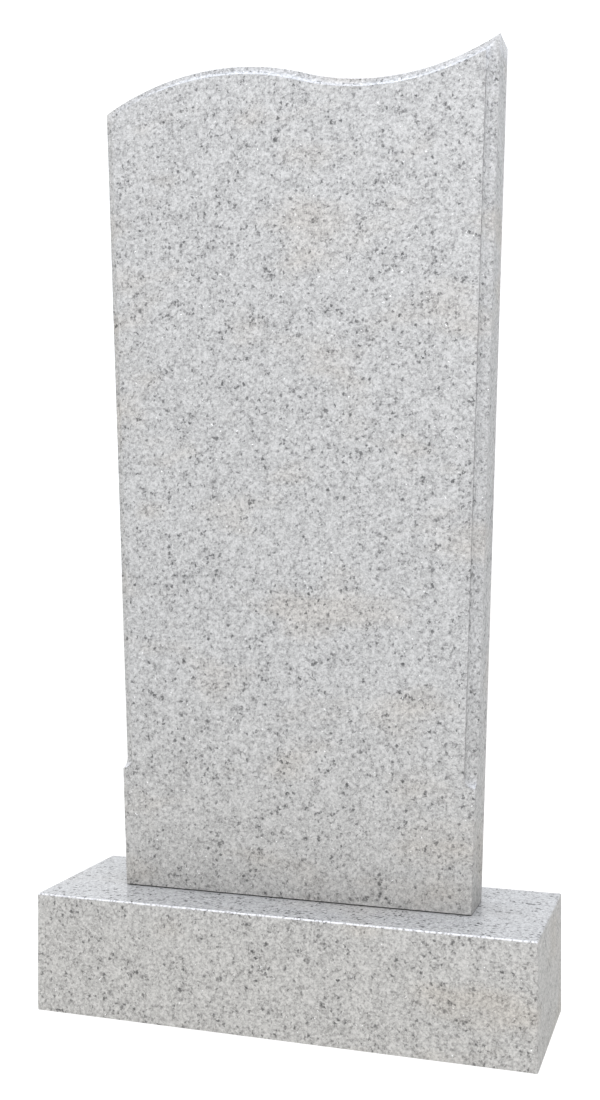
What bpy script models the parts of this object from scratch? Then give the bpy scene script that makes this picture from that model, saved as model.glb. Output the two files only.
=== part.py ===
"""Upright headstone of polished granite.

A stele with leaning sides and a wave top stands on a low plinth. A hollow moulding is cut along the front edge
of the stele, up both sides and over the wave, and ends in a rounded stop above a plain foot.

Metres, +Z up. The origin is on the ground under the middle of the plinth, and the front faces -Y.
"""

from math import asin, atan2, ceil, cos, pi, radians, sin

import bmesh
import bpy
from mathutils import Vector
from mathutils.geometry import intersect_line_sphere_2d

# The plinth, and the rounding of all its edges but those on the ground
PLINTH_WIDTH = 0.600
PLINTH_DEPTH = 0.200
PLINTH_HEIGHT = 0.140
PLINTH_ARRIS = 0.002

# The stele, with its height measured at the bottom of the wave's hollow
FOOT_WIDTH = 0.430
STELE_HEIGHT = 0.967
STELE_THICKNESS = 0.065

# How far each side leans out over that height
LEFT_OVERHANG = 0.0348
RIGHT_OVERHANG = 0.0300

# The wave top: the arc over the crest on the left runs into the arc of the hollow on the right, and where they
# meet the wave is at its steepest
CREST_X = -0.093
CREST_RADIUS = 0.325
WAVE_SLOPE = radians(18.75)
HOLLOW_RADIUS = 0.300

# The moulding on the front edge, and the height of the foot below it that is left plain
COVE_RADIUS = 0.013
PLAIN_FOOT_HEIGHT = 0.144

# The small bevels round the foot and round the back
FOOT_ARRIS = 0.002
BACK_ARRIS = 0.0015

# Where the stele stands: how much of the plinth shows in front of it, and the bed joint under it
FRONT_LEDGE = 0.070
BED_JOINT = 0.0003

# How finely the round forms are cut
ARC_FACET = 0.010
COVE_SIDES = 48
ARRIS_FACETS = 2

# The bars that cut the moulding run past its corners by this many times their radius, and are turned about their
# own length by half a side, so that no corner of theirs lies in a face that they cut
CUTTER_REACH = 3
CUTTER_TURN = pi / COVE_SIDES

SHARP_ANGLE = radians(25)
FLAT_ANGLE = radians(0.2)
WELD_DISTANCE = 0.00002

GRANITE_COLOUR = (0.600, 0.600, 0.590, 1.0)
POLISHED_ROUGHNESS = 0.12

LEFT = -1
RIGHT = 1


def clear_scene():
    for old in list(bpy.data.objects):
        bpy.data.objects.remove(old, do_unlink=True)


def new_collection(name):
    collection = bpy.data.collections.new(name)
    bpy.context.scene.collection.children.link(collection)
    return collection


def new_object(name, data, collection):
    thing = bpy.data.objects.new(name, data)
    collection.objects.link(thing)
    return thing


def object_from_bmesh(name, bm, collection):
    mesh = bpy.data.meshes.new(name)
    bm.to_mesh(mesh)
    bm.free()
    return new_object(name, mesh, collection)


def evaluated_mesh(source):
    """The mesh of an object with its modifiers, or of a curve with its thickness, in its own axes."""
    bpy.context.view_layer.update()
    return bpy.data.meshes.new_from_object(source.evaluated_get(bpy.context.evaluated_depsgraph_get()))


def tidy_mesh(mesh):
    """Join loose caps and points that fall together, and turn every face outwards."""
    bm = bmesh.new()
    bm.from_mesh(mesh)
    bmesh.ops.remove_doubles(bm, verts=bm.verts, dist=WELD_DISTANCE)
    bmesh.ops.dissolve_degenerate(bm, edges=bm.edges, dist=WELD_DISTANCE)
    bmesh.ops.recalc_face_normals(bm, faces=bm.faces)
    bm.to_mesh(mesh)
    bm.free()


def poly_curve(name, places, collection):
    """A curve object of one open spline with straight stretches through the places."""
    curve = bpy.data.curves.new(name, "CURVE")
    spline = curve.splines.new("POLY")
    spline.points.add(len(places) - 1)
    for point, place in zip(spline.points, places):
        point.co = (*place, 1.0)
    return new_object(name, curve, collection)


def mesh_from_curve(curve_object, collection):
    """Replace a curve object by a closed mesh object of the same name, in the same place."""
    mesh = evaluated_mesh(curve_object)
    tidy_mesh(mesh)
    name = curve_object.name
    placed = curve_object.matrix_world.copy()
    bpy.data.objects.remove(curve_object, do_unlink=True)
    solid = new_object(name, mesh, collection)
    solid.matrix_world = placed
    return solid


def bevel(bm, edges, width, facets):
    bmesh.ops.bevel(bm, geom=edges, offset=width, offset_type="OFFSET", segments=facets, profile=0.5,
                    affect="EDGES", clamp_overlap=True)


def side_line(side):
    """One side of the outline, from its foot to the full height, as (across, up)."""
    overhang = LEFT_OVERHANG if side == LEFT else RIGHT_OVERHANG
    foot = Vector((side * FOOT_WIDTH / 2, 0.0))
    return foot, foot + Vector((side * overhang, STELE_HEIGHT))


def arc(centre, radius, start, end):
    """Points on an arc, with angles measured from straight up and positive to the right."""
    steps = ceil(abs(radius * (end - start)) / ARC_FACET)
    angles = [start + (end - start) * step / steps for step in range(steps + 1)]
    return [centre + radius * Vector((sin(angle), cos(angle))) for angle in angles]


def wave():
    """The wave top from the left corner to the point at the right: two arcs that meet on one tangent.

    The centre of the first arc lies below the wave and that of the second above it, both in line with the place
    where the arcs meet. The side lines cut them off, the first on its way down and the second on its way up.
    """
    between_centres = (CREST_RADIUS + HOLLOW_RADIUS) * Vector((sin(WAVE_SLOPE), cos(WAVE_SLOPE)))
    hollow_centre = Vector((CREST_X + between_centres.x, STELE_HEIGHT + HOLLOW_RADIUS))
    crest_centre = hollow_centre - between_centres
    left_crossings = intersect_line_sphere_2d(*side_line(LEFT), crest_centre, CREST_RADIUS, False)
    right_crossings = intersect_line_sphere_2d(*side_line(RIGHT), hollow_centre, HOLLOW_RADIUS, False)
    left_corner = max(left_crossings, key=lambda point: point.y)
    right_corner = min(right_crossings, key=lambda point: point.y)
    left_angle = asin((left_corner.x - crest_centre.x) / CREST_RADIUS)
    right_angle = asin((right_corner.x - hollow_centre.x) / HOLLOW_RADIUS)
    crest = arc(crest_centre, CREST_RADIUS, left_angle, WAVE_SLOPE)
    hollow = arc(hollow_centre, HOLLOW_RADIUS, pi + WAVE_SLOPE, pi - right_angle)
    return crest + hollow[1:]


def on_front_edge(point):
    """A point of the outline, on the front face of the slab."""
    return Vector((point.x, -STELE_THICKNESS / 2, point.y))


def stele_blank(collection):
    """The outline cut through the thickness of the slab, with bevels round the back and round the foot."""
    outline = [side_line(LEFT)[0], *wave(), side_line(RIGHT)[0]]
    flat = poly_curve("stele", [point.to_3d() for point in outline], collection)
    flat.data.splines[0].use_cyclic_u = True
    flat.data.dimensions = "2D"
    flat.data.fill_mode = "BOTH"
    flat.data.extrude = STELE_THICKNESS / 2
    flat.rotation_euler.x = pi / 2
    blank = mesh_from_curve(flat, collection)
    blank.data.transform(blank.matrix_world)
    blank.matrix_world.identity()
    bm = bmesh.new()
    bm.from_mesh(blank.data)
    bmesh.ops.dissolve_limit(bm, angle_limit=FLAT_ANGLE, verts=bm.verts, edges=bm.edges)
    back = STELE_THICKNESS / 2 - WELD_DISTANCE
    bevel(bm, [edge for edge in bm.edges if min(v.co.y for v in edge.verts) > back
               and max(v.co.z for v in edge.verts) > WELD_DISTANCE], BACK_ARRIS, 1)
    bevel(bm, [edge for edge in bm.edges if max(v.co.z for v in edge.verts) < WELD_DISTANCE], FOOT_ARRIS, 1)
    bm.to_mesh(blank.data)
    bm.free()
    return blank


def wave_cutter(collection):
    """A round bar laid along the front edge of the wave, run on straight past both corners."""
    top = wave()
    reach = CUTTER_REACH * COVE_RADIUS
    start = top[0] + reach * (top[0] - top[1]).normalized()
    end = top[-1] + reach * (top[-1] - top[-2]).normalized()
    bar = poly_curve("cutter_wave", [on_front_edge(point) for point in (start, *top, end)], collection)
    bar.data.dimensions = "3D"
    bar.data.bevel_depth = COVE_RADIUS
    # A round bevel has four sides and two more for each step of its resolution
    bar.data.bevel_resolution = (COVE_SIDES - 4) // 2
    bar.data.use_fill_caps = True
    for point in bar.data.splines[0].points:
        point.tilt = CUTTER_TURN
    return mesh_from_curve(bar, collection)


def side_cutter(name, side, corner, collection):
    """A turned bar with a ball end along one side, whose ball cuts the stop above the plain foot."""
    foot, top = side_line(side)
    lean = (top - foot).normalized()
    stop = foot + lean * (PLAIN_FOOT_HEIGHT + COVE_RADIUS) / lean.y
    length = (corner - stop).length + CUTTER_REACH * COVE_RADIUS
    steps = COVE_SIDES // 4
    turns = [pi / 2 * step / steps for step in range(steps)]
    ball = [(COVE_RADIUS * cos(turn), -COVE_RADIUS * sin(turn)) for turn in turns]
    profile = [(0.0, length), (COVE_RADIUS, length), *ball, (0.0, -COVE_RADIUS)]
    bm = bmesh.new()
    points = [bm.verts.new((radius * cos(CUTTER_TURN), radius * sin(CUTTER_TURN), height))
              for radius, height in profile]
    for upper, lower in zip(points, points[1:]):
        bm.edges.new((upper, lower))
    bar = object_from_bmesh(name, bm, collection)
    turned = bar.modifiers.new("turned", "SCREW")
    turned.axis = "Z"
    turned.angle = 2 * pi
    turned.steps = COVE_SIDES
    turned.render_steps = COVE_SIDES
    turned.use_merge_vertices = True
    turned.merge_threshold = WELD_DISTANCE
    bar.location = on_front_edge(stop)
    bar.rotation_euler.y = atan2(lean.x, lean.y)
    return bar


def carve(solid, cutters):
    """Cut all the bars of a collection out of the slab at once, and keep the result as its mesh."""
    for cutter in cutters.objects:
        cutter.hide_render = True
        cutter.display_type = "WIRE"
        cutter.parent = solid
    cut = solid.modifiers.new("moulding", "BOOLEAN")
    cut.operation = "DIFFERENCE"
    cut.solver = "EXACT"
    cut.operand_type = "COLLECTION"
    cut.collection = cutters
    carved = evaluated_mesh(solid)
    tidy_mesh(carved)
    solid.modifiers.clear()
    solid.data = carved


def make_stele(parts, cutters):
    """The slab with its moulding, stood on the plinth."""
    stele = stele_blank(parts)
    top = wave()
    side_cutter("cutter_left", LEFT, top[0], cutters)
    wave_cutter(cutters)
    side_cutter("cutter_right", RIGHT, top[-1], cutters)
    carve(stele, cutters)
    front = FRONT_LEDGE - PLINTH_DEPTH / 2
    stele.location = (0.0, front + STELE_THICKNESS / 2, PLINTH_HEIGHT + BED_JOINT)
    return stele


def make_plinth(parts):
    """A squared block with every edge rounded but those on the ground."""
    bm = bmesh.new()
    bmesh.ops.create_cube(bm, size=1.0)
    bmesh.ops.scale(bm, vec=(PLINTH_WIDTH, PLINTH_DEPTH, PLINTH_HEIGHT), verts=bm.verts)
    bevel(bm, [edge for edge in bm.edges if max(v.co.z for v in edge.verts) > 0], PLINTH_ARRIS, ARRIS_FACETS)
    plinth = object_from_bmesh("plinth", bm, parts)
    plinth.location.z = PLINTH_HEIGHT / 2
    return plinth


def polish(stone, material_name):
    """Give a stone its own granite, and shade its round forms smooth between sharp edges."""
    material = bpy.data.materials.new(material_name)
    material.use_nodes = True
    shader = material.node_tree.nodes["Principled BSDF"]
    shader.inputs["Base Color"].default_value = GRANITE_COLOUR
    shader.inputs["Roughness"].default_value = POLISHED_ROUGHNESS
    shader.inputs["Metallic"].default_value = 0.0
    material.diffuse_color = GRANITE_COLOUR
    stone.data.materials.clear()
    stone.data.materials.append(material)
    stone.data.shade_smooth()
    stone.data.set_sharp_from_angle(angle=SHARP_ANGLE)


def main():
    clear_scene()
    parts = new_collection("upright_headstone")
    cutters = new_collection("cutters")
    polish(make_plinth(parts), "plinth_granite")
    polish(make_stele(parts, cutters), "stele_granite")


main()
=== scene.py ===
"""Upright headstone of polished granite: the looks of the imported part.

Both stones are made again as fine, closed surfaces with small rounded arrises, which the solids leave out. Each
stands exactly where its solid stands. The granite is a procedural material on Object coordinates.

Metres, +Z up, and the front faces -Y.
"""

from math import acos, pi, radians

import bmesh
import bpy
import numpy as np
from bpy.props import FloatProperty, FloatVectorProperty, PointerProperty
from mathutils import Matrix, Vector


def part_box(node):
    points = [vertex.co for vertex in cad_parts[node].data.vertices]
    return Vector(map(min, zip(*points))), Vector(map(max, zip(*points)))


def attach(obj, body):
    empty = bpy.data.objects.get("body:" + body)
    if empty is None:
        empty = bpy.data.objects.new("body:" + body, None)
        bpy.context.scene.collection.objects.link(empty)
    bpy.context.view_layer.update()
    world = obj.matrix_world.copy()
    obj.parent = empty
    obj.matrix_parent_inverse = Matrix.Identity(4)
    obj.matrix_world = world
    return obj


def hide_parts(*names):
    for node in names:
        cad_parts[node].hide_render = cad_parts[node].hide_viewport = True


bl_info = {
    "name": "Upright headstone",
    "version": (1, 0, 0),
    "blender": (4, 5, 0),
    "location": "View3D > Sidebar > Headstone",
    "description": "A granite stele with a wave top on a low plinth",
    "category": "Add Mesh",
}

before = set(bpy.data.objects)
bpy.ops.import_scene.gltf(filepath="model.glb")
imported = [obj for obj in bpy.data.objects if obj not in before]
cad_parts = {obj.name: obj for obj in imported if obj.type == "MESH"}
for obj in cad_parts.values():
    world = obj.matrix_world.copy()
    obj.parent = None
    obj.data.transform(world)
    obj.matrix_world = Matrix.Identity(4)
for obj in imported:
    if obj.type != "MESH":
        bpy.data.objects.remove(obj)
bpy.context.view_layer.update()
STELE_BOX = np.array([tuple(corner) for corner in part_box("stele")])
PLINTH_BOX = np.array([tuple(corner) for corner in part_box("plinth")])

LEFT = -1
RIGHT = 1
WELD_DISTANCE = 0.000002

# Rows of a rounded arris, of the cove and of the plain wall behind it, and the columns of each stretch of the edge
ARRIS_ROWS = 6
COVE_ROWS = 19
WALL_ROWS = 6
FOOT_COLUMNS = 14
STOP_COLUMNS = 16
SIDE_COLUMNS = 34
CREST_COLUMNS = 70
HOLLOW_COLUMNS = 66

# Places along half of a plain face of the plinth
BLOCK_STATIONS = 9

# A flat face keeps its own shading up to this far from a rounded arris
HOLD = 0.0003

# Radius of a cove, as a share of the arris beside it, at which its two small arcs meet as one eased edge
EASED_EDGE = 2 ** 0.5 - 1

# Share of the plain foot's height over which the foot's arris runs out into the side's
FOOT_FADE = 0.06

# Where in the block of granite each stone's pattern is taken from
STELE_SHIFT = (0.31, 0.17, 0.05)
PLINTH_SHIFT = (1.7, 0.6, 0.9)

# Sizes in the granite's pattern, as shares of the crystal size
BEND_REACH = 1.8
GRAIN_SIZE = 0.55
FLECK_SIZE = 1.15
BLOTCH_SIZE = 1.1
GROUP_SIZE = 6

# Size of the faint warm clouds, and how much flatter than wide they are
CLOUD_SIZE = 0.14
CLOUD_FLATNESS = 2.2

# What the grain, the blotches and the groups add to the grey, and what is taken off it
GREY_FROM_GRAIN = 0.5
GREY_FROM_BLOTCH = 0.6
GREY_FROM_GROUP = 0.3
GREY_LESS = 0.08

# A fleck's radius in cells: how much its group counts, the level that it starts from and its growth above that
FLECK_GATHERING = 0.8
FLECK_LEVEL = 0.78
FLECK_GROWTH = 1.25

# How dark a fleck is: at the least, more by its own chance, and more on faces that look up, which is painted shade
FLECK_LEAST = 0.3
FLECK_CHANCE = 0.5
FLECK_ON_TOP = 0.3

# Height up to which the upright faces get a painted warm shade
WARM_SHADE_TOP = 0.42

# The granite's shine, how much rougher its flecks are, and its relief
STONE_IOR = 1.55
STONE_SPECULAR = 0.1
FLECK_ROUGHNESS = 0.08
RELIEF_OF_FLECKS = 0.6
RELIEF_OF_GREY = 0.4
RELIEF_STRENGTH = 0.03
RELIEF_DEPTH = 0.0002

# Height below which the upright stone's stops get a painted highlight where they face up
PAINTED_HIGHLIGHT_TOP = 0.4

# The line of painted shade in the moulding's inner corner: where it begins, how far behind the front it ends, how dark
# it is
LINE_FOOT = 0.29
LINE_DEPTH = 0.006
LINE_SHARE = 0.27

# Half the width of the floor, and its roughness
FLOOR_REACH = 20
FLOOR_ROUGHNESS = 0.9

# The camera's place, turn, lens and shift, as the straight edges in the photo give them
CAMERA_PLACE = (0.49317, -1.474517, 0.56324)
CAMERA_TURN = (pi / 2, 0.0, 0.322258)
CAMERA_LENS = 42.162
CAMERA_SHIFT = -0.00677
SENSOR_WIDTH = 36.0


class SteleSizes(bpy.types.PropertyGroup):
    """The sizes of the upright stone."""

    foot_width: FloatProperty(
        name="Foot width", description="Width of the stone where it stands on the plinth",
        default=0.430, unit="LENGTH")
    hollow_height: FloatProperty(
        name="Height", description="Height of the stone at the bottom of the hollow in its top",
        default=0.967, unit="LENGTH")
    left_overhang: FloatProperty(
        name="Left overhang", description="How far the left side leans out over the height",
        default=0.0348, unit="LENGTH")
    right_overhang: FloatProperty(
        name="Right overhang", description="How far the right side leans out over the height",
        default=0.0300, unit="LENGTH")
    crest_x: FloatProperty(
        name="Crest", description="Place of the crest of the wave, from the middle of the stone",
        default=-0.093, unit="LENGTH")
    crest_radius: FloatProperty(
        name="Crest radius", description="Radius of the wave over its crest",
        default=0.325, unit="LENGTH")
    wave_slope: FloatProperty(
        name="Wave slope", description="Slope of the wave where the crest runs into the hollow",
        default=radians(18.75), subtype="ANGLE")
    hollow_radius: FloatProperty(
        name="Hollow radius", description="Radius of the wave in its hollow",
        default=0.300, unit="LENGTH")
    cove_radius: FloatProperty(
        name="Cove radius", description="Radius of the hollow moulding on the front edge",
        default=0.013, unit="LENGTH")
    plain_foot_height: FloatProperty(
        name="Plain foot", description="Height of the foot that the moulding leaves plain",
        default=0.144, unit="LENGTH")
    arris: FloatProperty(
        name="Arris", description="Radius of the eased edges beside the moulding",
        default=0.0006, unit="LENGTH")
    back_arris: FloatProperty(
        name="Back arris", description="Radius of the eased edges round the back",
        default=0.0015, unit="LENGTH")
    foot_arris: FloatProperty(
        name="Foot arris", description="Radius of the eased edges round the foot",
        default=0.0015, unit="LENGTH")


class PlinthSizes(bpy.types.PropertyGroup):
    """The sizes of the low block."""

    arris: FloatProperty(
        name="Arris", description="Radius of all its edges but those on the ground",
        default=0.0020, unit="LENGTH")


class GraniteLook(bpy.types.PropertyGroup):
    """The colours and the polish of the granite."""

    feldspar: FloatVectorProperty(
        name="Feldspar", description="Colour of the pale crystals",
        default=(0.576, 0.576, 0.570), subtype="COLOR", min=0.0, max=1.0)
    quartz: FloatVectorProperty(
        name="Quartz", description="Colour of the grey crystals between them",
        default=(0.222, 0.221, 0.218), subtype="COLOR", min=0.0, max=1.0)
    mica: FloatVectorProperty(
        name="Mica", description="Colour of the dark flecks",
        default=(0.035, 0.036, 0.038), subtype="COLOR", min=0.0, max=1.0)
    blush: FloatVectorProperty(
        name="Blush", description="Tint of the faint warm clouds",
        default=(0.995, 0.965, 0.93), subtype="COLOR", min=0.0, max=1.0)
    # Painted warm shade: the upright faces are tinted warmer and a little darker towards the floor, where the cool
    # light from above is weaker
    painted_warm_shade: FloatVectorProperty(
        name="Painted warm shade colour", description="Tint of the upright faces towards the ground",
        default=(0.978, 0.960, 0.928), subtype="COLOR", min=0.0, max=1.0)
    # Painted highlight: a pale colour on the moulding stops and on the plinth's front arris, where they catch the
    # light
    ground: FloatVectorProperty(
        name="Painted highlight colour", description="Colour of the stone where a highlight is painted on it",
        default=(0.80, 0.80, 0.82), subtype="COLOR", min=0.0, max=1.0)
    # Painted shade: a dark colour where the foot turns under onto the plinth and in the moulding's inner corner
    painted_shade: FloatVectorProperty(
        name="Painted shade colour", description="Colour of the stone in the joint and in the inner corner of the moulding",
        default=(0.07, 0.07, 0.067), subtype="COLOR", min=0.0, max=1.0)
    glint: FloatVectorProperty(
        name="Glint", description="Colour of the few white glints",
        default=(0.95, 0.95, 0.95), subtype="COLOR", min=0.0, max=1.0)
    crystal: FloatProperty(
        name="Crystal size", description="Size of the larger crystals",
        default=0.0034, unit="LENGTH")
    polished: FloatProperty(
        name="Polished roughness", description="Roughness of the front, the moulding and the tops",
        default=0.12, subtype="FACTOR", min=0.0, max=1.0)
    honed: FloatProperty(
        name="Honed roughness", description="Roughness of the sides and the back",
        default=0.60, subtype="FACTOR", min=0.0, max=1.0)


class StageLook(bpy.types.PropertyGroup):
    """The light and the floor."""

    floor: FloatVectorProperty(
        name="Floor", description="Colour of the floor",
        default=(0.35, 0.35, 0.35), subtype="COLOR", min=0.0, max=1.0)
    floor_light: FloatVectorProperty(
        name="Floor light", description="Colour of the light that the floor gives of itself",
        default=(0.84, 0.835, 0.82), subtype="COLOR", min=0.0, max=1.0)
    floor_glow: FloatProperty(
        name="Floor glow", description="How much light the floor gives of itself, so that it stays as pale far away",
        default=0.85, min=0.0)
    sky: FloatVectorProperty(
        name="Surroundings", description="Colour of the light from all round",
        default=(0.98, 0.987, 1.0), subtype="COLOR", min=0.0, max=1.0)
    sky_strength: FloatProperty(
        name="Surroundings strength", description="Brightness of the light from all round",
        default=1.06, min=0.0)
    sky_lean: FloatVectorProperty(
        name="Surroundings lean", description="How much darker the light gets towards +X, +Y and +Z",
        default=(0.45, -0.05, 0.20), size=3)
    light: FloatVectorProperty(
        name="Front lights", description="Colour of both soft lights in front",
        default=(0.91, 0.924, 1.0), subtype="COLOR", min=0.0, max=1.0)
    overhead_light: FloatVectorProperty(
        name="Overhead colour", description="Colour of the soft light above",
        default=(0.74, 0.83, 1.0), subtype="COLOR", min=0.0, max=1.0)
    overhead_power: FloatProperty(
        name="Overhead light", description="Power of the soft light above",
        default=16.0, unit="POWER")
    key_power: FloatProperty(
        name="Front light", description="Power of the high soft light in front",
        default=24.0, unit="POWER")
    side_power: FloatProperty(
        name="Side light", description="Power of the lower soft light in front on the right",
        default=10.5, unit="POWER")


def sheet_faces(rows, columns, first):
    """The four-sided faces of a sheet of points, numbered row after row from the first."""
    numbers = first + np.arange(rows * columns).reshape(rows, columns)
    return np.stack([numbers[:-1, :-1], numbers[1:, :-1], numbers[1:, 1:], numbers[:-1, 1:]], axis=-1).reshape(-1, 4)


def closed_piece(name, sheets):
    """One closed, smooth mesh object from sheets of points that share their edges."""
    points = np.concatenate([sheet.reshape(-1, 3) for sheet in sheets])
    firsts = np.cumsum([0] + [sheet.shape[0] * sheet.shape[1] for sheet in sheets[:-1]])
    faces = np.concatenate([sheet_faces(*sheet.shape[:2], first) for sheet, first in zip(sheets, firsts)])
    mesh = bpy.data.meshes.new(name)
    mesh.from_pydata(points, [], faces)
    bm = bmesh.new()
    bm.from_mesh(mesh)
    bmesh.ops.remove_doubles(bm, verts=bm.verts, dist=WELD_DISTANCE)
    bmesh.ops.recalc_face_normals(bm, faces=bm.faces)
    loose = [edge for edge in bm.edges if len(edge.link_faces) != 2]
    bm.to_mesh(mesh)
    bm.free()
    if loose:
        raise RuntimeError(f"{name} has {len(loose)} edges that don't join two faces")
    mesh.shade_smooth()
    piece = bpy.data.objects.new(name, mesh)
    bpy.context.scene.collection.objects.link(piece)
    return piece


def side_frame(sizes, side):
    """The foot of one side of the outline, the direction up along it and the direction inwards."""
    overhang = sizes.left_overhang if side == LEFT else sizes.right_overhang
    up = np.array([side * overhang, sizes.hollow_height])
    up /= np.linalg.norm(up)
    inwards = np.array([-side * up[1], side * up[0]])
    return np.array([side * sizes.foot_width / 2, 0.0]), up, inwards


def arc_centres(sizes):
    """The centres of the crest and of the hollow.

    The hollow's centre lies one hollow radius above the stone's height. The line from the crest's centre to it is as
    long as both radii together and leans by the wave's slope, so the arcs touch on it.
    """
    reach = sizes.crest_radius + sizes.hollow_radius
    between = reach * np.array([np.sin(sizes.wave_slope), np.cos(sizes.wave_slope)])
    hollow = np.array([sizes.crest_x + between[0], sizes.hollow_height + sizes.hollow_radius])
    return hollow - between, hollow


def on_side(sizes, side, along, inset):
    """Points of the line that lies inside one side of the outline by the inset."""
    foot, up, inwards = side_frame(sizes, side)
    return foot + along[..., None] * up + inset[..., None] * inwards


def corner_along(sizes, side, inset):
    """How far up a side it meets the wave, both set in by the inset.

    The line meets a circle about the crest that is smaller by the inset, or one about the hollow that is larger.
    With g the gap from the circle's centre to the foot of the line, the distance t along it solves
    t squared + 2 t (g . up) + g . g = radius squared.
    """
    crest, hollow = arc_centres(sizes)
    if side == LEFT:
        centre, radius, root = crest, sizes.crest_radius - inset, 1
    else:
        centre, radius, root = hollow, sizes.hollow_radius + inset, -1
    gap = on_side(sizes, side, np.zeros_like(inset), inset) - centre
    middle = -gap @ side_frame(sizes, side)[1]
    return middle + root * np.sqrt(middle ** 2 - (gap ** 2).sum(axis=-1) + radius ** 2)


def foot_along(sizes, side, inset):
    """How far up a side it meets the foot line, both set in by the inset."""
    _, up, inwards = side_frame(sizes, side)
    return inset * (1 - inwards[1]) / up[1]


def edge_profile(thickness, cove, front_arris, back_arris):
    """The section across the edge of the stone, from its front face round to its back face.

    Each column of the edge has its own radii, given as arrays, and gets (inset from the outline, depth from the
    front). The cove is a quarter circle about the sharp corner. A small arc of radius a, that touches the front
    face and the cove, has its centre at depth a and at the distance cove + a from the corner, and its mirror image
    lies on the side face. Where the cove is smaller than a (root 2 - 1) the two arcs meet as one eased edge.
    """
    a = front_arris[:, None]
    b = back_arris[:, None]
    r = np.maximum(cove[:, None], a * EASED_EDGE)
    centre = np.sqrt(r ** 2 + 2 * r * a)
    lean = np.arctan2(a, centre)
    share = np.linspace(0, 1, ARRIS_ROWS)
    turn = pi / 2 + share * (lean - pi / 2)
    arc_wide = centre - a * np.cos(turn)
    arc_deep = a - a * np.sin(turn)
    sweep = lean + np.linspace(0, 1, COVE_ROWS)[1:-1] * (pi / 2 - 2 * lean)
    back_turn = share * pi / 2
    wall = np.linspace(0, 1, WALL_ROWS)
    wall_deep = centre + HOLD + wall * (thickness - b - centre - 2 * HOLD)
    inset = [centre + HOLD, arc_wide, r * np.cos(sweep), arc_deep[:, ::-1], 0 * wall_deep,
             b - b * np.cos(back_turn), b + HOLD]
    depth = [0 * centre, arc_deep, r * np.sin(sweep), arc_wide[:, ::-1], wall_deep,
             thickness - b + b * np.sin(back_turn), 0 * b + thickness]
    return np.concatenate(inset, axis=1), np.concatenate(depth, axis=1)


def ease(share):
    """From 0 to 1 with level ends: 3 s squared - 2 s cubed."""
    share = np.clip(share, 0, 1)
    return share * share * (3 - 2 * share)


def side_sheet(sizes, side, thickness):
    """The edge of one side, from the foot up to the wave.

    Below, the columns lie on the plain foot. Then comes the stop, a quarter of a ball of the cove's radius: at the
    angle f below its centre the cove there has the radius cos f. Above it the cove is whole, and the columns turn
    little by little from square across the side to the mitre at the corner.
    """
    up = side_frame(sizes, side)[1]
    ball = (sizes.plain_foot_height + sizes.cove_radius) / up[1]
    least = acos(EASED_EDGE * sizes.arris / sizes.cove_radius)
    dip = np.linspace(least, 0, STOP_COLUMNS)
    low = np.linspace(0, 1, FOOT_COLUMNS) ** 2
    high = np.linspace(0, 1, SIDE_COLUMNS)[1:]
    cove = np.concatenate([0 * low[:-1], sizes.cove_radius * np.cos(dip), 0 * high + sizes.cove_radius])
    near_foot = np.concatenate([1 - ease(low[:-1] / FOOT_FADE), 0 * dip, 0 * high])
    front_arris = sizes.arris + near_foot * (sizes.foot_arris - sizes.arris)
    back_arris = sizes.back_arris + near_foot * (sizes.foot_arris - sizes.back_arris)
    inset, depth = edge_profile(thickness, cove, front_arris, back_arris)
    pole = ball - sizes.cove_radius * np.sin(least)
    at_foot = foot_along(sizes, side, inset)
    at_top = corner_along(sizes, side, inset)
    along = np.empty_like(inset)
    stop = slice(len(low) - 1, len(low) - 1 + len(dip))
    along[:stop.start] = at_foot[:stop.start] + low[:-1, None] * (pole - at_foot[:stop.start])
    along[stop] = (ball - sizes.cove_radius * np.sin(dip))[:, None]
    along[stop.stop:] = ball + high[:, None] * (at_top[stop.stop:] - ball)
    return on_side(sizes, side, along, inset), depth


def wave_sheet(sizes, thickness):
    """The edge of the wave from the left corner to the right one: each row is an arc about the crest's centre, then
    one about the hollow's, both set in by that row's inset, with the columns spread evenly by angle."""
    columns = CREST_COLUMNS + HOLLOW_COLUMNS - 1
    whole = np.ones(columns)
    inset, depth = edge_profile(thickness, sizes.cove_radius * whole, sizes.arris * whole, sizes.back_arris * whole)
    crest, hollow = arc_centres(sizes)
    row = inset[0]
    left = on_side(sizes, LEFT, corner_along(sizes, LEFT, row), row) - crest
    right = on_side(sizes, RIGHT, corner_along(sizes, RIGHT, row), row) - hollow
    first = np.arctan2(left[:, 0], left[:, 1])
    last = np.arctan2(right[:, 0], -right[:, 1])
    over = np.linspace(first, np.full_like(first, sizes.wave_slope), CREST_COLUMNS)
    under = np.linspace(np.full_like(last, -sizes.wave_slope), last, HOLLOW_COLUMNS)[1:]
    crest_part = crest + (sizes.crest_radius - row)[:, None] * np.stack([np.sin(over), np.cos(over)], axis=-1)
    hollow_part = hollow + (sizes.hollow_radius + row)[:, None] * np.stack([np.sin(under), -np.cos(under)], axis=-1)
    return np.concatenate([crest_part, hollow_part]), depth


def foot_sheet(sizes, thickness, share):
    """The edge of the foot: straight lines from the left corner to the right one, with the columns at the shares."""
    whole = np.ones(len(share))
    inset, depth = edge_profile(thickness, 0 * whole, sizes.foot_arris * whole, sizes.foot_arris * whole)
    row = inset[0]
    left = on_side(sizes, LEFT, foot_along(sizes, LEFT, row), row)
    right = on_side(sizes, RIGHT, foot_along(sizes, RIGHT, row), row)
    return left + share[:, None, None] * (right - left), depth


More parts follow.
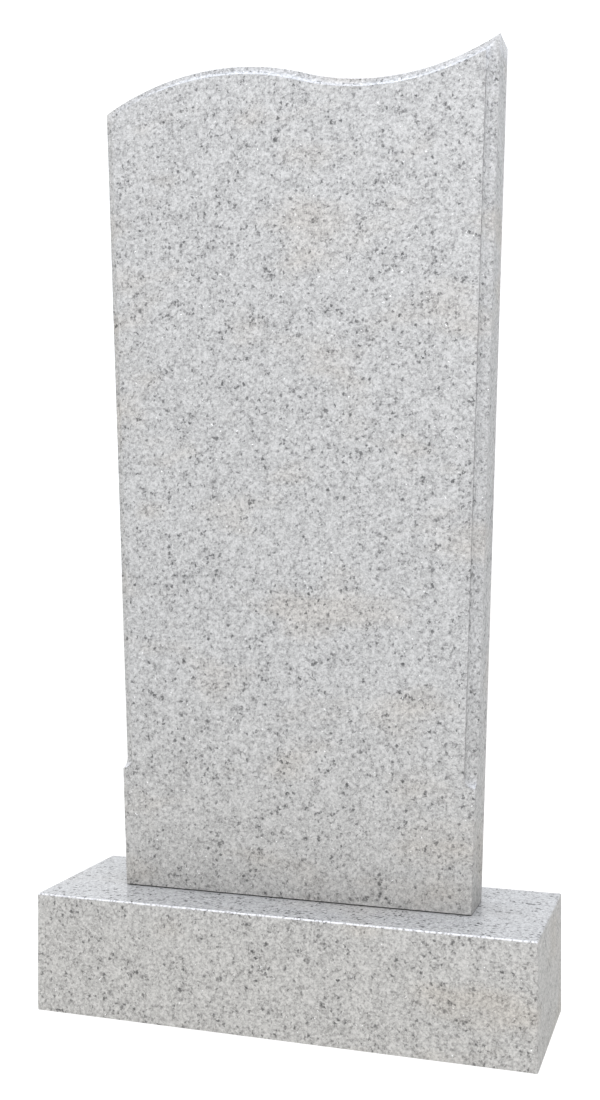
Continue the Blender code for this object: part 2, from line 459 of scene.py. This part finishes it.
def filled(left, right, foot, wave):
    """A flat sheet between four lines of points: a Coons patch.

    It is the sheet ruled from left to right, plus the one ruled from foot to wave, less the one ruled between the
    four corners. The shares across and up are those of the wave's and of the left side's own points.
    """
    across = ((wave[:, 0] - wave[0, 0]) / (wave[-1, 0] - wave[0, 0]))[None, :, None]
    up = ((left[:, 1] - left[0, 1]) / (left[-1, 1] - left[0, 1]))[:, None, None]
    ruled_across = (1 - across) * left[:, None] + across * right[:, None]
    ruled_up = (1 - up) * foot[None] + up * wave[None]
    low_corners = (1 - across) * left[0] + across * right[0]
    high_corners = (1 - across) * left[-1] + across * right[-1]
    return ruled_across + ruled_up - ((1 - up) * low_corners + up * high_corners)


def stele_sheets(sizes, low, high):
    """All sheets of the upright stone in their place: three round the top and sides, the foot, the front, the back."""
    thickness = high[1] - low[1]
    left, left_depth = side_sheet(sizes, LEFT, thickness)
    right, right_depth = side_sheet(sizes, RIGHT, thickness)
    wave, wave_depth = wave_sheet(sizes, thickness)
    share = (wave[:, 0, 0] - wave[0, 0, 0]) / (wave[-1, 0, 0] - wave[0, 0, 0])
    foot, foot_depth = foot_sheet(sizes, thickness, share)
    front = filled(left[:, 0], right[:, 0], foot[:, 0], wave[:, 0])
    back = filled(left[:, -1], right[:, -1], foot[:, -1], wave[:, -1])
    flat = [(left, left_depth), (wave, wave_depth), (right, right_depth), (foot, foot_depth),
            (front, np.zeros(front.shape[:2])), (back, np.full(back.shape[:2], thickness))]
    return [np.stack([places[..., 0], low[1] + depth, low[2] + places[..., 1]], axis=-1) for places, depth in flat]


def stations(half, arris):
    """Places along one axis of a block, closest together in its rounded edges, where they are even by angle."""
    angles = np.linspace(0, pi / 4, ARRIS_ROWS)
    rounded = half - arris + arris * np.tan(angles)
    plain = np.linspace(0, half - arris - HOLD, BLOCK_STATIONS)
    side = np.concatenate([plain, rounded])
    return np.concatenate([-side[:0:-1], side])


def block_sheets(low, high, arris):
    """The six sheets of a block whose edges are rounded, but for those on the ground.

    A block without its arris stands inside. Each point of the sharp block is reached from the nearest point of the
    inner one by an offset, and the offset is made shorter by the ratio of its largest part to its length, which
    turns the square corners of the offsets into rounds.
    """
    middle = (low + high) / 2
    half = (high - low) / 2
    inner_high = half - arris
    inner_low = np.array([-inner_high[0], -inner_high[1], -half[2]])
    sheets = []
    for axis in range(3):
        first, second = [other for other in range(3) if other != axis]
        grid = np.meshgrid(stations(half[first], arris), stations(half[second], arris), indexing="ij")
        for end in (-1, 1):
            sharp = np.empty((*grid[0].shape, 3))
            sharp[..., first], sharp[..., second] = grid
            sharp[..., axis] = end * half[axis]
            inner = np.clip(sharp, inner_low, inner_high)
            offset = sharp - inner
            length = np.linalg.norm(offset, axis=-1, keepdims=True)
            largest = np.abs(offset).max(axis=-1, keepdims=True)
            sheets.append(middle + inner + offset * largest / np.maximum(length, 1e-12))
    return sheets


class Number:
    """A number in a node tree, taken from a socket, that Python's signs turn into Math nodes."""

    def __init__(self, shader, socket):
        self.shader = shader
        self.socket = socket

    def math(self, operation, *values):
        """The result of a Math node with these values in its sockets."""
        return Number(self.shader, self.shader.node(
            "ShaderNodeMath", {"operation": operation}, dict(enumerate(values))))

    def __add__(self, other):
        return self.math("ADD", self, other)

    def __sub__(self, other):
        return self.math("SUBTRACT", self, other)

    def __mul__(self, other):
        return self.math("MULTIPLY", self, other)

    def __radd__(self, other):
        return self.math("ADD", other, self)

    def __rsub__(self, other):
        return self.math("SUBTRACT", other, self)

    def __rmul__(self, other):
        return self.math("MULTIPLY", other, self)

    def clipped(self):
        """The number, kept from 0 to 1."""
        return self.math("MAXIMUM", self.math("MINIMUM", self, 1.0), 0.0)

    def above(self, start, slope):
        """0 up to the start, and beyond it as much as the number is above it times the slope, up to 1."""
        return ((self - start) * slope).clipped()

    def below(self, start, slope):
        """0 down to the start, and beyond it as much as the number is below it times the slope, up to 1."""
        return ((start - self) * slope).clipped()


class Shader:
    """The empty node tree of a material or of the surroundings, and what is put in it."""

    def __init__(self, tree):
        self.tree = tree
        self.tree.nodes.clear()

    def node(self, kind, settings, values, output=0):
        """A node of that type: its settings come first, then the values or links of its sockets."""
        made = self.tree.nodes.new(kind)
        for name, value in settings.items():
            setattr(made, name, value)
        for socket, value in values.items():
            if isinstance(value, Number):
                value = value.socket
            if isinstance(value, bpy.types.NodeSocket):
                self.tree.links.new(value, made.inputs[socket])
            else:
                made.inputs[socket].default_value = value
        return made.outputs[output] if made.outputs else None

    def parts(self, vector):
        """The three parts of a vector, each as a number."""
        split = self.node("ShaderNodeSeparateXYZ", {}, {"Vector": vector}, "X")
        return [Number(self, split.node.outputs[name]) for name in "XYZ"]

    def noise(self, place, size, detail=2.0, roughness=0.5, colour=False):
        """Soft noise with spots of about that size: a number, or a colour of three of them."""
        socket = self.node("ShaderNodeTexNoise", {"noise_dimensions": "3D"},
                           {"Vector": place, "Scale": 1 / size, "Detail": detail, "Roughness": roughness},
                           "Color" if colour else "Fac")
        return socket if colour else Number(self, socket)

    def mixed(self, share, first, second, blend="MIX"):
        """Two colours mixed by a share: the colour sockets of a Mix node are its seventh and eighth."""
        return self.node("ShaderNodeMix", {"data_type": "RGBA", "blend_type": blend},
                         {0: share, 6: first, 7: second}, 2)


def opaque(colour):
    """A colour of three parts with the fourth that a colour socket takes."""
    return (*colour, 1.0)


def crystals(shader, place, size):
    """Cells of about that size: each cell's own three random numbers, and the distance to its middle in cells."""
    settings = {"voronoi_dimensions": "3D", "feature": "F1"}
    values = {"Vector": place, "Scale": 1 / size, "Randomness": 1.0}
    cells = shader.node("ShaderNodeTexVoronoi", settings, values, "Color")
    split = shader.node("ShaderNodeSeparateColor", {"mode": "RGB"}, {"Color": cells}, "Red")
    chances = [Number(shader, split.node.outputs[name]) for name in ("Red", "Green", "Blue")]
    return chances, Number(shader, cells.node.outputs["Distance"])


def new_material(name):
    material = bpy.data.materials.new(name)
    material.use_nodes = True
    return material


def granite(name, look, shift, edges):
    """Light grey polished granite: pale and grey crystals, dark flecks that gather in loose groups, a few white
    glints, faint warm clouds, and a faint painted warm shade on the upright faces towards the floor.

    The shift moves the pattern in the stone, so that no two stones are cut from the same place of the block. The
    edges are a function that gives, from the place, the normal and the blotches, how much of the stone gets a pale
    painted highlight, and how much of it gets the dark of a painted shade under the foot or in a corner.
    """
    material = new_material(name)
    shader = Shader(material.node_tree)
    here = shader.node("ShaderNodeTexCoord", {}, {}, "Object")
    point = shader.parts(here)
    here = shader.node("ShaderNodeMapping", {"vector_type": "POINT"}, {"Vector": here, "Location": shift})
    bend = shader.noise(here, look.crystal, detail=1.0, colour=True)
    bend = shader.node("ShaderNodeVectorMath", {"operation": "SUBTRACT"}, {0: bend, 1: (0.5, 0.5, 0.5)})
    bend = shader.node("ShaderNodeVectorMath", {"operation": "SCALE"}, {0: bend, "Scale": look.crystal * BEND_REACH})
    place = shader.node("ShaderNodeVectorMath", {"operation": "ADD"}, {0: here, 1: bend})

    sideways, backwards, upwards = shader.parts(shader.node("ShaderNodeTexCoord", {}, {}, "Normal"))
    sideways = sideways.math("ABSOLUTE", sideways)

    grain, grain_middle = crystals(shader, place, look.crystal * GRAIN_SIZE)
    flecks, fleck_middle = crystals(shader, place, look.crystal * FLECK_SIZE)
    blotches = shader.noise(here, look.crystal * BLOTCH_SIZE, roughness=0.75)
    groups = shader.noise(here, look.crystal * GROUP_SIZE)
    squeezed = shader.node(
        "ShaderNodeMapping", {"vector_type": "POINT"}, {"Vector": here, "Scale": (1.0, 1.0, CLOUD_FLATNESS)})
    clouds = shader.noise(squeezed, CLOUD_SIZE)

    blotch = blotches.below(start=0.60, slope=3.2)
    grey = GREY_FROM_GRAIN * grain[0] + GREY_FROM_BLOTCH * blotch + (groups - 0.5) * GREY_FROM_GROUP - GREY_LESS
    stone = shader.mixed(grey.clipped(), opaque(look.feldspar), opaque(look.quartz))
    radius = (flecks[0] + FLECK_GATHERING * groups - FLECK_LEVEL) * FLECK_GROWTH
    # Flecks are painted darker on faces that look up, as shade for the contrast that the light gives the tops
    darkness = FLECK_LEAST + FLECK_CHANCE * flecks[1] + FLECK_ON_TOP * upwards.clipped()
    fleck = fleck_middle.below(start=radius, slope=2.0) * darkness
    stone = shader.mixed(fleck, stone, opaque(look.mica))
    warm = clouds.above(start=0.54, slope=6.0)
    stone = shader.mixed(warm, stone, opaque(look.blush), "MULTIPLY")
    # Painted warm shade: the upright faces are tinted warmer and darker towards the floor
    low = point[2].below(start=WARM_SHADE_TOP, slope=3.0) * (1.0 - upwards.clipped())
    stone = shader.mixed(low, stone, opaque(look.painted_warm_shade), "MULTIPLY")
    glint = grain[1].above(start=0.992, slope=300.0) * grain_middle.below(start=0.42, slope=6.0)
    stone = shader.mixed(glint, stone, opaque(look.glint))

    honed = sideways.math("MAXIMUM", sideways, backwards).above(start=0.8, slope=8.0)
    # The pale is a painted highlight and the dark a painted shade, both given by the edges
    ground, painted_shade = edges(point, (sideways, backwards, upwards), blotches)
    stone = shader.mixed(ground, stone, opaque(look.ground))
    stone = shader.mixed(painted_shade, stone, opaque(look.painted_shade))

    relief = (1 - fleck) * RELIEF_OF_FLECKS + grey.clipped() * RELIEF_OF_GREY
    bump = shader.node(
        "ShaderNodeBump", {}, {"Strength": RELIEF_STRENGTH, "Distance": RELIEF_DEPTH, "Height": relief})
    surface = shader.node("ShaderNodeBsdfPrincipled", {}, {
        "Base Color": stone,
        "Roughness": look.polished + fleck * FLECK_ROUGHNESS + honed * (look.honed - look.polished),
        "IOR": STONE_IOR,
        "Specular IOR Level": STONE_SPECULAR,
        "Normal": bump,
    })
    shader.node("ShaderNodeOutputMaterial", {}, {"Surface": surface})
    return material


def stele_edges(point, facing, blotches):
    """The upright stone's two moulding stops get a painted highlight where they face up, low on the sides. Its foot
    has painted shade where it turns under, and so has a thin line up the inner corner of the moulding, just behind the
    front."""
    sideways, _, upwards = facing
    # Painted highlight on the stops where they face up
    ground = upwards.above(start=0.5, slope=1.2) * point[2].below(start=PAINTED_HIGHLIGHT_TOP, slope=20.0)
    # Painted shade where the foot turns under, and a thin line of painted shade in the inner corner of the moulding
    under = upwards.below(start=-0.075, slope=4.0)
    above_stops = point[2].above(start=LINE_FOOT, slope=200.0)
    behind_front = point[1].below(start=STELE_BOX[0][1] + LINE_DEPTH, slope=1000.0)
    line = sideways.above(start=0.95, slope=40.0) * above_stops * behind_front * LINE_SHARE
    return ground, under + line


def plinth_edges(point, facing, blotches):
    """The plinth's arris between front and top gets a painted highlight in a ragged line, and nothing on it gets
    painted shade.
    """
    _, backwards, upwards = facing
    # Painted highlight on the front arris, made ragged by the blotches
    rounded = (backwards * upwards).below(start=-0.1, slope=4.0)
    return rounded * blotches.above(start=0.36, slope=6.0), 0.0


def finish_stone(piece, node, material):
    """Give a stone its material, let it stand for its solid and ride with it."""
    piece.data.materials.append(material)
    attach(piece, "root")
    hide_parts(node)


class HEADSTONE_OT_stele(bpy.types.Operator):
    """Make the upright stone with its wave top and its moulding."""

    bl_idname = "headstone.stele"
    bl_label = "Upright stone"

    def execute(self, context):
        scene = context.scene
        sheets = stele_sheets(scene.stele_sizes, *STELE_BOX)
        piece = closed_piece("stele_stone", sheets)
        finish_stone(piece, "stele", granite(
            "stele_granite", scene.granite_look, STELE_SHIFT, stele_edges))
        return {"FINISHED"}


class HEADSTONE_OT_plinth(bpy.types.Operator):
    """Make the low block that the upright stone stands on."""

    bl_idname = "headstone.plinth"
    bl_label = "Plinth"

    def execute(self, context):
        scene = context.scene
        sheets = block_sheets(*PLINTH_BOX, scene.plinth_sizes.arris)
        piece = closed_piece("plinth_stone", sheets)
        finish_stone(piece, "plinth", granite(
            "plinth_granite", scene.granite_look, PLINTH_SHIFT, plinth_edges))
        return {"FINISHED"}


def make_floor(look):
    """A wide, pale, level floor that also gives light of itself."""
    mesh = bpy.data.meshes.new("floor")
    corners = [(x * FLOOR_REACH, y * FLOOR_REACH, 0) for x, y in ((-1, -1), (1, -1), (1, 1), (-1, 1))]
    mesh.from_pydata(corners, [], [(0, 1, 2, 3)])
    floor = bpy.data.objects.new("floor", mesh)
    bpy.context.scene.collection.objects.link(floor)
    floor_paint = new_material("floor_paint")
    shader = Shader(floor_paint.node_tree)
    paint = shader.node("ShaderNodeBsdfPrincipled", {}, {
        "Base Color": opaque(look.floor),
        "Roughness": FLOOR_ROUGHNESS,
        "Emission Color": opaque(look.floor_light),
        "Emission Strength": look.floor_glow,
    })
    shader.node("ShaderNodeOutputMaterial", {}, {"Surface": paint})
    mesh.materials.append(floor_paint)


def make_surroundings(look):
    """The light from all round: its strength, less the dot product of the direction that it comes from and the
    lean."""
    world = bpy.data.worlds.new("surroundings")
    world.use_nodes = True
    air = Shader(world.node_tree)
    way = air.node("ShaderNodeTexCoord", {}, {}, "Generated")
    lean = Number(air, air.node(
        "ShaderNodeVectorMath", {"operation": "DOT_PRODUCT"}, {0: way, 1: tuple(look.sky_lean)}, "Value"))
    glow = air.node("ShaderNodeBackground", {}, {
        "Color": opaque(look.sky),
        "Strength": look.sky_strength - lean,
    })
    air.node("ShaderNodeOutputWorld", {}, {"Surface": glow})
    bpy.context.scene.world = world


def soft_light(name, colour, power, size, place, target):
    """A rectangular light of that size at a place, turned towards a target."""
    light = bpy.data.lights.new(name, "AREA")
    light.shape = "RECTANGLE"
    light.size, light.size_y = size
    light.energy = power
    light.color = colour
    thing = bpy.data.objects.new(name, light)
    bpy.context.scene.collection.objects.link(thing)
    thing.location = place
    thing.rotation_euler = (Vector(target) - Vector(place)).to_track_quat("-Z", "Y").to_euler()


def make_camera():
    """The camera that sees both stones as the photo does."""
    lens = bpy.data.cameras.new("camera")
    lens.sensor_width = SENSOR_WIDTH
    lens.lens = CAMERA_LENS
    lens.shift_y = CAMERA_SHIFT
    camera = bpy.data.objects.new("camera", lens)
    bpy.context.scene.collection.objects.link(camera)
    camera.location = CAMERA_PLACE
    camera.rotation_euler = CAMERA_TURN
    bpy.context.scene.camera = camera


class HEADSTONE_OT_stage(bpy.types.Operator):
    """Make the floor, the light and the camera."""

    bl_idname = "headstone.stage"
    bl_label = "Floor, light and camera"

    def execute(self, context):
        look = context.scene.stage_look
        make_floor(look)
        make_surroundings(look)
        soft_light("overhead", look.overhead_light, look.overhead_power,
                   size=(1.9, 0.8), place=(0.1, 0.1, 2.15), target=(0.1, 0.1, 0.0))
        soft_light("key", look.light, look.key_power,
                   size=(2.2, 1.7), place=(0.35, -1.2, 2.7), target=(0.0, 0.0, 0.6))
        soft_light("side", look.light, look.side_power,
                   size=(0.9, 0.9), place=(1.3, -1.5, 1.7), target=(0.1, 0.0, 0.9))
        make_camera()
        context.scene.view_settings.view_transform = "Standard"
        return {"FINISHED"}


class HEADSTONE_PT_panel(bpy.types.Panel):
    """Lists the steps that make the headstone."""

    bl_idname = "HEADSTONE_PT_panel"
    bl_label = "Upright headstone"
    bl_space_type = "VIEW_3D"
    bl_region_type = "UI"
    bl_category = "Headstone"

    def draw(self, context):
        for operator in OPERATORS:
            self.layout.operator(operator.bl_idname)


SETTINGS = {
    "stele_sizes": SteleSizes,
    "plinth_sizes": PlinthSizes,
    "granite_look": GraniteLook,
    "stage_look": StageLook,
}
OPERATORS = (HEADSTONE_OT_stele, HEADSTONE_OT_plinth, HEADSTONE_OT_stage)
CLASSES = (*SETTINGS.values(), *OPERATORS, HEADSTONE_PT_panel)


def register():
    for kind in CLASSES:
        bpy.utils.register_class(kind)
    for name, kind in SETTINGS.items():
        setattr(bpy.types.Scene, name, PointerProperty(type=kind))


def unregister():
    for name in SETTINGS:
        delattr(bpy.types.Scene, name)
    for kind in reversed(CLASSES):
        bpy.utils.unregister_class(kind)


def main():
    """Make both stones and the stage."""
    register()
    bpy.ops.headstone.stele()
    bpy.ops.headstone.plinth()
    bpy.ops.headstone.stage()
    bpy.context.view_layer.update()


if __name__ == "__main__":
    main()
